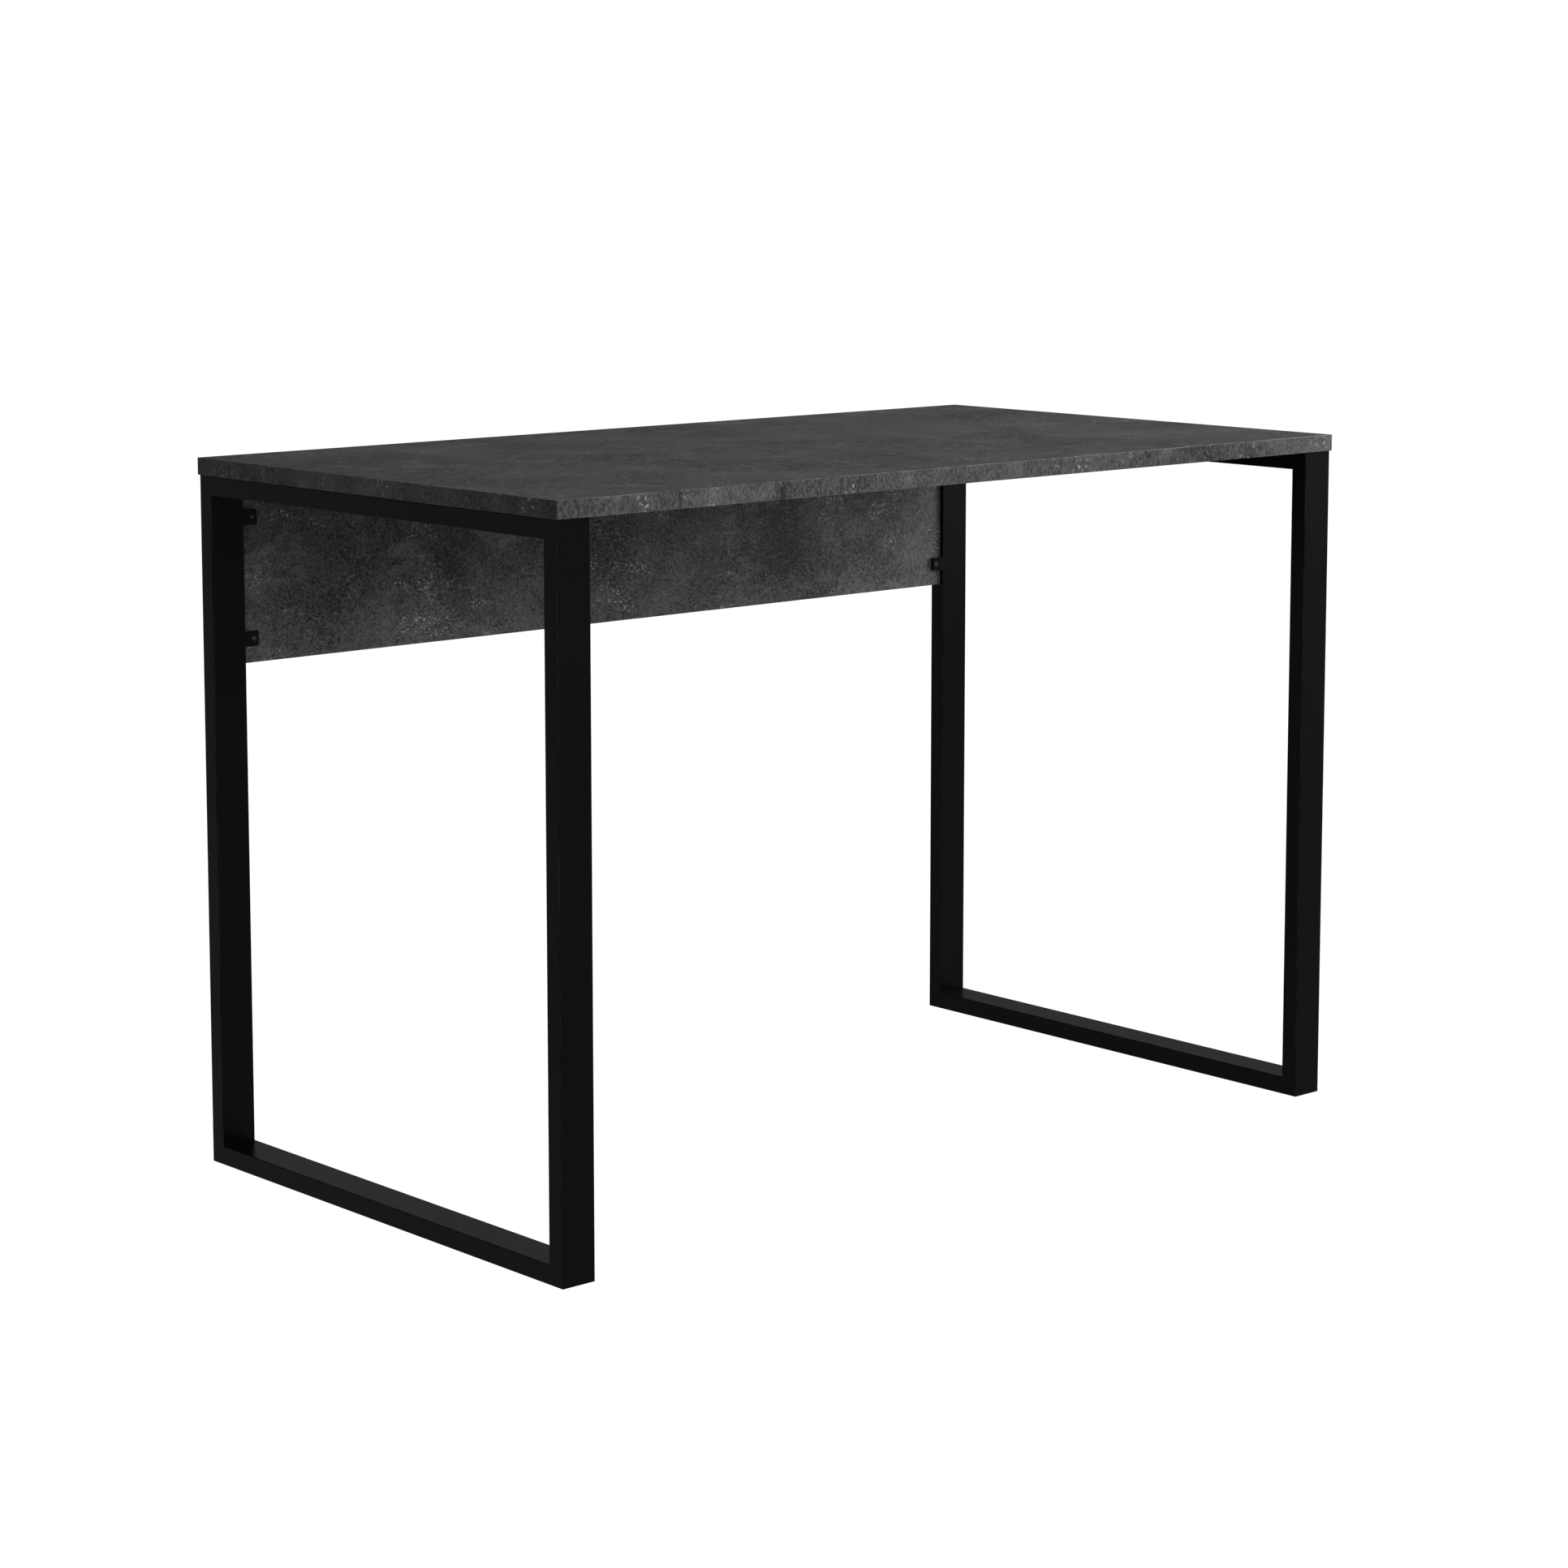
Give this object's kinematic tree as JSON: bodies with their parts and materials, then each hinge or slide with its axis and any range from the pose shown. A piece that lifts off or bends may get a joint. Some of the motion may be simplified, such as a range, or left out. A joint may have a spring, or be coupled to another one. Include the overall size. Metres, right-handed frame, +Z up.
{
  "type": "desk",
  "caption": "Rectangular desk with a dark concrete-look laminate top on closed square-cornered steel side frames and a modesty panel between the back legs.",
  "frame": {"origin": "on the floor under the middle of the top", "axes": "+X to the right of the person sitting at the desk, along its width; +Y away from them, towards the back panel; +Z up"},
  "size_m": [1.1, 0.6, 0.75],
  "materials": {
    "laminate": "matt dark concrete-look melamine on particle board",
    "edge_band": "matt dark concrete-look edge band",
    "powder_coated_steel": "fine-textured matt black powder coat",
    "black_screw": "black zinc, worn bright in the recess",
    "zinc_plate": "bright zinc plate"
  },
  "bodies": {
    "root": {"top_board": "laminate", "top_edge_front": "edge_band", "top_edge_back": "edge_band", "top_edge_left": "edge_band", "top_edge_right": "edge_band", "panel_board": "laminate", "panel_edge_bottom": "edge_band", "panel_edge_top": "edge_band", "panel_edge_left": "edge_band", "panel_edge_right": "edge_band", "left_front_leg": "powder_coated_steel", "left_back_leg": "powder_coated_steel", "left_top_rail": "powder_coated_steel", "left_floor_rail": "powder_coated_steel", "right_front_leg": "powder_coated_steel", "right_back_leg": "powder_coated_steel", "right_top_rail": "powder_coated_steel", "right_floor_rail": "powder_coated_steel", "left_lower_tab": "powder_coated_steel", "left_upper_tab": "powder_coated_steel", "right_lower_tab": "powder_coated_steel", "right_upper_tab": "powder_coated_steel", "panel_screws": "black_screw", "top_bolts": "zinc_plate", "top_washers": "zinc_plate", "top_inserts": "zinc_plate"}
  },
  "joints": []
}
